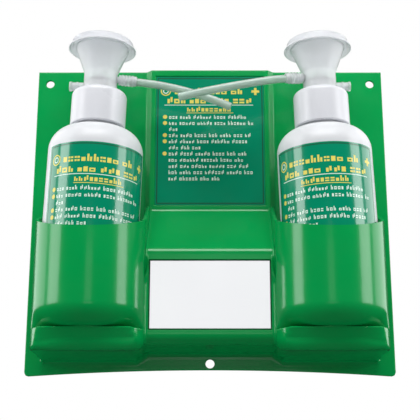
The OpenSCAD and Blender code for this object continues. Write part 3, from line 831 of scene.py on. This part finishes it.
def mark_row(sheet, u0, u1, v, height, ink, seed, wide=0.62, gap=0.3, words=(3, 7)):
    """A row of made-up marks, grouped as words, that stands for a line of print."""
    u, left, k = u0, words[0], seed
    while u + wide * height <= u1:
        k = (k * 37 + 11) % 101
        w = wide * height * (0.8 + 0.4 * (k % 5) / 4)
        h = height * (1.0 if k % 3 else 0.78)
        for a, b, c, d in MARK_SHAPES[k % len(MARK_SHAPES)]:
            sheet.patch(u + a * w, v + b * h, u + c * w, v + d * h, ink)
        u += w + gap * height
        left -= 1
        if left == 0:
            u += 0.45 * height
            left = words[0] + k % (words[1] - words[0])


def draw_print(sheet):
    """The made-up instruction print that the three labels share."""
    w, h = LABEL_W / 2, LABEL_H / 2
    for v in (h - 2.0, -h + 1.1):
        sheet.bar(-w + 1.1, v, w - 1.1, v + 0.9, DARK_INK, high=0.03)
    for u in (-w + 1.1, w - 2.0):
        sheet.bar(u, -h + 2.0, u + 0.9, h - 2.0, DARK_INK, high=0.03)
    sheet.ring(-37.0, 43.2, 4.3, 0.9, YELLOW_INK)
    sheet.ring(-37.0, 43.2, 2.4, 0.8, WHITE_INK)
    mark_row(sheet, -29.5, 30.5, 40.4, 5.6, YELLOW_INK, 5, wide=0.72, gap=0.22, words=(9, 10))
    mark_row(sheet, -36.0, 35.0, 32.2, 5.6, YELLOW_INK, 8, wide=0.72, gap=0.22, words=(3, 5))
    for a, b, c, d in ((-1.0, -3.2, 1.0, 3.2), (-3.2, -1.0, -1.0, 1.0), (1.0, -1.0, 3.2, 1.0)):
        sheet.patch(38.0 + a, 42.8 + b, 38.0 + c, 42.8 + d, YELLOW_INK)
    sheet.bar(-38.0, 30.3, 36.0, 30.9, WHITE_INK)
    mark_row(sheet, -19.0, 19.5, 24.9, 4.3, YELLOW_INK, 3, wide=0.68, gap=0.24, words=(12, 13))
    sheet.bar(-19.5, 23.4, 19.5, 23.9, YELLOW_INK)
    lines = [("dot", 30), ("dot", 38), ("", -24), ("dot", 36), ("dot", 33), ("", -6), ("dot", 30), ("", 28)]
    for k, (bullet, end) in enumerate(lines + [("", 33), ("", 35), ("", 8)]):
        v = 18.4 - 5.35 * k
        if bullet:
            sheet.disc(-37.4, v + 1.7, 1.75, YELLOW_INK)
        mark_row(sheet, -34.0, end, v, 3.4, WHITE_INK, 7 + 5 * k, wide=0.5, gap=0.26)


def make_wall_label(paints):
    back = FIELD_Y - LABEL_RECESS
    label = rounded_plate("fine_instruction_label", LABEL_W, LABEL_H, LABEL_T, 1.0)
    settle(label, Matrix.Translation(Vector((0, -back, LABEL_MID_Z)) * MM))
    wear(label, "station", "instruction_label", paints["label"])
    face = back + LABEL_T
    sheet = Print(lambda u, v, t: Vector((u, -face - t, LABEL_MID_Z + v)) * MM)
    draw_print(sheet)
    ink = sheet.finish("instruction_print", paints)
    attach(ink, "station")
    return label, ink


def make_bottle_label(side, paints):
    """The label wrapped round a bottle: a grid bent onto the cylinder, with its print."""
    body = SIDES[side] + "_bottle_unit"
    middle = WRAP_FOOT + WRAP_H / 2
    out = BOTTLE_R + LABEL_T
    place = on_bottle(side)

    def bend(u, v, t):
        turn = u / out + -side * WRAP_TURN[side] - math.pi / 2
        r = out + t
        return place @ (Vector((r * math.cos(turn), r * math.sin(turn), middle + v)) * MM)

    half = WRAP_ARC * out / 2
    label = grid_object(
        f"fine_{SIDES[side]}_bottle_label",
        [[(lerp(-half, half, k / 72), 0.0, v) for k in range(73)] for v in (-WRAP_H / 2, 0.0, WRAP_H / 2)],
    )
    edit_all()
    bpy.ops.mesh.extrude_region_move()
    bpy.ops.object.mode_set(mode="OBJECT")
    top = {v.index for v in label.data.vertices if v.select}
    for v in label.data.vertices:
        v.co = bend(v.co.x / MM, v.co.z / MM, 0.0 if v.index in top else -LABEL_T)
    bpy.ops.object.mode_set(mode="EDIT")
    clean_up(30)
    wear(label, body, SIDES[side] + "_bottle_label", paints["label"])
    sheet = Print(bend)
    draw_print(sheet)
    ink = sheet.finish(SIDES[side] + "_bottle_print", paints)
    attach(ink, body)


# ---------------------------------------------------------------- mirror
def make_mirror(paints):
    """The mirror: a bevelled glass plate whose edge shows green."""
    deselect()
    bpy.ops.mesh.primitive_cube_add(size=1.0)
    glass = bpy.context.object
    glass.name = glass.data.name = "fine_mirror"
    glass.scale = (MIRROR_W * MM, 2.0 * MM, MIRROR_H * MM)
    back = BLOCK_Y - MIRROR_RECESS + 0.8
    glass.location = (0.0, -(back + 1.0) * MM, MIRROR_MID_Z * MM)
    bpy.ops.object.transform_apply(location=True, rotation=True, scale=True)
    edit_all()
    bpy.ops.mesh.bevel(offset=0.35 * MM, segments=2, affect="EDGES")
    bpy.ops.object.mode_set(mode="OBJECT")
    bpy.ops.object.shade_flat()
    wear(glass, "station", "mirror", paints["mirror"])
    glass.data.materials.append(paints["mirror_edge"])
    for face in glass.data.polygons:
        face.material_index = 0 if face.normal.y < -0.95 else 1
    return glass


# ---------------------------------------------------------------- bottle, collar, cup, cover
def make_bottle(side, paints):
    inner_r, w = NECK_R - NECK_WALL, BOTTLE_WALL
    wall = soft([
        (0.0, 2.0), (22.0, 2.0, 2.0), (25.0, 0.0, 0.8), (BOTTLE_R, 0.0, BOTTLE_FOOT_R - 0.5),
        (BOTTLE_R, SHOULDER_TOP, SHOULDER_R - 0.2), (NECK_R, SHOULDER_TOP, 0.15), (NECK_R, NECK_TOP, 0.4),
        (inner_r, NECK_TOP, 0.3), (inner_r, SHOULDER_TOP - w, 0.15),
        (BOTTLE_R - w, SHOULDER_TOP - w, SHOULDER_R - w),
        (BOTTLE_R - w, w + 2.0, BOTTLE_FOOT_R - w), (0.0, w + 2.0),
    ], pieces=14)
    bottle = lathe(f"fine_{SIDES[side]}_bottle", wall, steps=128)
    ridge = draw_outline("thread", [
        (NECK_R - 0.2, THREAD_START - 1.0), (NECK_R + THREAD_OUT, THREAD_START - 0.3),
        (NECK_R + THREAD_OUT, THREAD_START + 0.3), (NECK_R - 0.2, THREAD_START + 1.0),
        (NECK_R - 0.2, THREAD_START - 1.0),
    ])
    bpy.ops.object.mode_set(mode="OBJECT")
    climb = ridge.modifiers.new("climb", "SCREW")
    climb.screw_offset = THREAD_PITCH * MM
    climb.iterations = THREAD_TURNS
    climb.steps = climb.render_steps = 48
    climb.use_merge_vertices = True
    apply_modifiers(ridge)
    bpy.ops.object.mode_set(mode="EDIT")
    clean_up(40)
    merge_into(bottle, ridge)
    settle(bottle, on_bottle(side))
    return wear_plastic(bottle, side, "bottle", "bottle", "bottle", paints)


def make_collar(side, paints):
    hole = STEM_R + 0.5
    outline = soft([
        (COLLAR_IN, COLLAR_FOOT), (COLLAR_R - 0.5, COLLAR_FOOT, 0.4), (COLLAR_R, COLLAR_FOOT + 0.8, 0.5),
        (COLLAR_R, COLLAR_CROWN, 4.5), (hole, COLLAR_CROWN, 0.4), (hole, FLANGE_TOP, 0.3),
        (COLLAR_IN, FLANGE_TOP, 0.4), (COLLAR_IN, COLLAR_FOOT),
    ], pieces=8)
    collar = lathe(f"fine_{SIDES[side]}_collar", outline, steps=128)
    settle(collar, on_bottle(side))
    return wear_plastic(collar, side, "collar", "collar", "collar", paints)


def make_cup(side, paints):
    inner = STEM_R - CUP_WALL
    outline = soft([
        (NOZZLE_SEAT_R, DIP_SOCKET_FOOT), (DIP_SOCKET_R, DIP_SOCKET_FOOT, 0.2),
        (DIP_SOCKET_R, CUP_FLOOR - CUP_FLOOR_T, 0.5), (inner, CUP_FLOOR - CUP_FLOOR_T, 0.5),
        (inner, FLANGE_TOP - FLANGE_T, 0.3), (NECK_R, FLANGE_TOP - FLANGE_T, 0.3), (NECK_R, FLANGE_TOP, 0.3),
        (STEM_R, FLANGE_TOP, 0.2), (STEM_R, STEM_TOP, 6.0), (RIM_R, RIM_TOP - 2, 0.15),
        (RIM_R + 0.5, RIM_TOP - 2, 0.2), (RIM_R + 0.5, RIM_TOP, 0.6), (RIM_R - CUP_WALL, RIM_TOP, 0.5),
        (inner, STEM_TOP, 6.0), (inner, CUP_FLOOR - TOUCH_GAP, 0.8), (NOZZLE_SEAT_R, CUP_FLOOR - TOUCH_GAP),
        (NOZZLE_SEAT_R, DIP_SOCKET_FOOT),
    ], pieces=6)
    cup = lathe(f"fine_{SIDES[side]}_eye_cup", outline, steps=112)
    settle(cup, on_bottle(side))
    spigot = lathe("spigot", soft([
        (SPIGOT_BORE, inner + 0.5), (SPIGOT_R, inner + 0.5), (SPIGOT_R, SPIGOT_END, 0.3),
        (SPIGOT_BORE, SPIGOT_END, 0.2), (SPIGOT_BORE, inner + 0.5),
    ]), steps=40)
    settle(spigot, drain_axis(side))
    bore = VENT_R - 0.9
    stub = lathe("stub", soft([
        (bore, inner + 0.5), (VENT_R, inner + 0.5), (VENT_R, VENT_RING_START, 0.1),
        (VENT_RING_R, VENT_RING_START, 0.15), (VENT_RING_R, VENT_RING_END, 0.15),
        (VENT_R, VENT_RING_END, 0.1), (VENT_R, VENT_REACH - PLUG_FACE_T, 0.2),
        (bore, VENT_REACH - PLUG_FACE_T), (bore, inner + 0.5),
    ]), steps=40)
    settle(stub, vent_axis(side))
    merge_into(cup, spigot, stub)
    return wear_plastic(cup, side, "cup", "eye_cup", "cup", paints)


def make_sleeve(side, paints):
    bore, end = SLEEVE_BORE + 0.02, SLEEVE_START + SLEEVE_LEN
    ribs = []
    for k in range(4):
        at = SLEEVE_START + 2.2 + 2.6 * k
        ribs += [(SLEEVE_R - 0.45, at, 0.2), (SLEEVE_R, at + 0.5, 0.3), (SLEEVE_R, at + 1.4, 0.3),
                 (SLEEVE_R - 0.45, at + 1.9, 0.2)]
    outline = soft([(SPIGOT_R + 0.05, SLEEVE_START), (SLEEVE_R - 0.45, SLEEVE_START, 0.35)] + ribs + [
        (SLEEVE_R - 0.5, end, 0.5), (bore, end, 0.2), (bore, end - 5.0), (2.2, end - 5.0),
        (2.2, SPIGOT_END + 0.2), (SPIGOT_R + 0.05, SPIGOT_END + 0.2), (SPIGOT_R + 0.05, SLEEVE_START),
    ], pieces=4)
    sleeve = lathe(f"fine_{SIDES[side]}_drain_sleeve", outline, steps=48)
    settle(sleeve, drain_axis(side))
    return wear_plastic(sleeve, side, "cup", "drain_sleeve", "cup", paints)


def make_plug(side, paints):
    face = VENT_REACH - PLUG_FACE_T
    pin = VENT_R - 0.95
    outline = soft([
        (0.0, face - 5.0), (pin, face - 5.0, 0.4), (pin, face), (VENT_RING_R, face, 0.4),
        (VENT_RING_R, VENT_REACH, 0.5), (2.4, VENT_REACH, 0.2), (2.1, VENT_REACH - 0.3, 0.2),
        (0.0, VENT_REACH - 0.3),
    ], pieces=4)
    plug = lathe(f"fine_{SIDES[side]}_vent_plug", outline, steps=48)
    settle(plug, vent_axis(side))
    return wear_plastic(plug, side, "plug", "vent_plug", "cup", paints)


def make_cover(side, paints):
    foot = COVER_TOP - COVER_H
    r, w = COVER_R, COVER_WALL
    ledge = RIM_R - CUP_WALL + 0.2
    outline = soft([
        (0.0, COVER_TOP - 0.3), (15.5, COVER_TOP - 0.3, 3.0), (17.0, COVER_TOP, 2.5),
        (r - 0.5, COVER_TOP, 2.0), (r + 0.3, foot + 4.0, 2.5), (COVER_EDGE_R, foot + 0.9, 0.5),
        (COVER_EDGE_R, foot, 0.35),
        (COVER_EDGE_R - w, foot, 0.4), (r - w, RIM_TOP + TOUCH_GAP, 0.3), (ledge, RIM_TOP + TOUCH_GAP, 0.3),
        (ledge, COVER_TOP - w - 0.3, 1.2), (0.0, COVER_TOP - w - 0.3),
    ], pieces=7)
    cover = lathe(f"fine_{SIDES[side]}_dust_cover", outline, steps=112)
    settle(cover, on_bottle(side))
    return wear_plastic(cover, side, "cover", "dust_cover", "cover", paints)


def make_hose(side, paints):
    """The clear drain hose: a curve along its route, made a tube with a real bore."""
    route = [Vector(p) * MM for p in (LEFT_ROUTE if side < 0 else RIGHT_ROUTE)]
    line = bpy.data.curves.new(f"fine_{SIDES[side]}_drain_hose", "CURVE")
    line.dimensions = "3D"
    spline = line.splines.new("NURBS")
    spline.points.add(len(route) - 1)
    for point, place in zip(spline.points, route):
        point.co = (*place, 1.0)
    spline.order_u = 3
    spline.use_endpoint_u = True
    spline.resolution_u = 6
    line.bevel_depth = HOSE_D / 2 * MM
    line.bevel_resolution = 8
    hose = bpy.data.objects.new(line.name, line)
    bpy.context.collection.objects.link(hose)
    pick(hose)
    bpy.ops.object.convert(target="MESH")
    bore = hose.modifiers.new("bore", "SOLIDIFY")
    bore.thickness = 0.9 * MM
    bore.offset = -1.0
    apply_modifiers(hose)
    bpy.ops.object.shade_smooth_by_angle(angle=math.radians(40))
    wear_plastic(hose, side, "cup", "drain_hose", "hose", paints)
    return hose


def dress_hidden_parts(paints):
    """The inner parts keep their plain shapes and get their materials."""
    finishes = {"washer": ("washer", "washer_foam"), "spray_nozzle": ("cup", "cup_plastic"),
                "dip_tube": ("bottle", "bottle_plastic"), "solution": ("solution", "solution_clear")}
    named = [("mirror_tape", "tape")]
    named += [(f"{side}_{part}", finishes[part][0]) for side in SIDES.values() for part in finishes]
    for name, paint in named:
        node = bpy.data.objects[name]
        node.data.materials.clear()
        node.data.materials.append(paints[paint])


# ---------------------------------------------------------------- surroundings
def softbox(name, place, aim, width, height, power):
    light = bpy.data.lights.new(name, "AREA")
    light.shape = "RECTANGLE"
    light.size, light.size_y = width, height
    light.energy = power
    obj = bpy.data.objects.new(name, light)
    obj.location = place
    obj.rotation_euler = (Vector(aim) - Vector(place)).to_track_quat("-Z", "Y").to_euler()
    obj.visible_transmission = False
    bpy.context.collection.objects.link(obj)
    return obj


def glowing_card(name, place, aim, width, height):
    """A white card that lights up in the mirror and that the camera doesn't see."""
    deselect()
    bpy.ops.mesh.primitive_plane_add(size=1.0)
    card = bpy.context.object
    card.name = name
    card.scale = (width, height, 1.0)
    card.location = place
    card.rotation_euler = (Vector(aim) - Vector(place)).to_track_quat("Z", "Y").to_euler()
    bpy.ops.object.transform_apply(location=True, rotation=True, scale=True)
    paint = bpy.data.materials.new(name)
    paint.use_nodes = True
    tree = paint.node_tree
    tree.nodes.clear()
    glow = tree.nodes.new("ShaderNodeEmission")
    glow.inputs["Strength"].default_value = 1.0
    out = tree.nodes.new("ShaderNodeOutputMaterial")
    tree.links.new(glow.outputs["Emission"], out.inputs["Surface"])
    card.data.materials.append(paint)
    card.visible_camera = card.visible_transmission = False
    return card


def make_world():
    """White all round for the eye and for clear plastic, and dim in the gloss of solid plastic."""
    world = bpy.data.worlds.new("studio")
    bpy.context.scene.world = world
    world.use_nodes = True
    tree = world.node_tree
    tree.nodes.clear()
    rays = tree.nodes.new("ShaderNodeLightPath")
    white = tree.nodes.new("ShaderNodeBackground")
    white.inputs["Color"].default_value = (1.0, 1.0, 1.0, 1.0)
    white.inputs["Strength"].default_value = 1.0
    dim = tree.nodes.new("ShaderNodeBackground")
    dim.inputs["Color"].default_value = (1.0, 1.0, 1.0, 1.0)
    dim.inputs["Strength"].default_value = 0.30
    dark = tree.nodes.new("ShaderNodeBackground")
    dark.inputs["Color"].default_value = (0.9, 1.0, 0.95, 1.0)
    dark.inputs["Strength"].default_value = 0.012
    gloss = tree.nodes.new("ShaderNodeMixShader")
    tree.links.new(rays.outputs["Is Glossy Ray"], gloss.inputs["Fac"])
    tree.links.new(dim.outputs["Background"], gloss.inputs[1])
    tree.links.new(dark.outputs["Background"], gloss.inputs[2])
    seen = tree.nodes.new("ShaderNodeMath")
    seen.operation = "MAXIMUM"
    tree.links.new(rays.outputs["Is Camera Ray"], seen.inputs[0])
    tree.links.new(rays.outputs["Is Transmission Ray"], seen.inputs[1])
    mix = tree.nodes.new("ShaderNodeMixShader")
    tree.links.new(seen.outputs["Value"], mix.inputs["Fac"])
    tree.links.new(gloss.outputs["Shader"], mix.inputs[1])
    tree.links.new(white.outputs["Background"], mix.inputs[2])
    out = tree.nodes.new("ShaderNodeOutputWorld")
    tree.links.new(mix.outputs["Shader"], out.inputs["Surface"])


def make_floor():
    """A wide floor that only shades the undersides: neither the camera nor the gloss shows it."""
    deselect()
    bpy.ops.mesh.primitive_plane_add(size=14.0, location=(0.0, -0.2, -1.3))
    floor = bpy.context.object
    floor.name = "floor"
    floor.data.materials.append(new_paint("floor_paint", (0.82, 0.82, 0.82), 0.6)[0])
    floor.visible_camera = floor.visible_transmission = floor.visible_glossy = False


def make_lights():
    """Tall boxes beside the object, dimmer ones behind, a main light in front and the mirror's cards."""
    middle = (0.0, -0.04, -0.11)
    for side in (-1, 1):
        for name, turn, width, power in (("side", 71, 0.40, 4.2), ("spill", 112, 0.75, 3.6)):
            a = math.radians(turn)
            place = (side * 0.95 * math.sin(a), -0.04 - 0.95 * math.cos(a), 0.32)
            box = softbox(f"{name}_softbox_{SIDES[side]}", place, (0.0, -0.04, 0.32), width, 1.05, power)
            box.data.spread = math.radians(150)
    softbox("front_softbox", (0.0, -0.85, 1.0), middle, 1.2, 0.7, 17.0)
    glowing_card("mirror_card_high", (0.0, -1.25, 0.01), (0.0, -0.045, -0.187), 0.27, 0.21)
    glowing_card("mirror_card_low", (0.0, -1.25, -0.285), (0.0, -0.045, -0.187), 0.36, 0.2)


def main():
    set_camera()
    paints = make_paints()
    for side in SIDES:
        make_hose(side, paints)
    make_panel(paints)
    make_wall_label(paints)
    make_mirror(paints)
    for side in SIDES:
        makers = (make_bottle, make_bottle_label, make_collar, make_cup, make_sleeve, make_plug, make_cover)
        for make in makers:
            make(side, paints)
    dress_hidden_parts(paints)
    make_world()
    make_floor()
    make_lights()
    bpy.context.scene.view_settings.view_transform = "Standard"
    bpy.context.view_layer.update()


main()
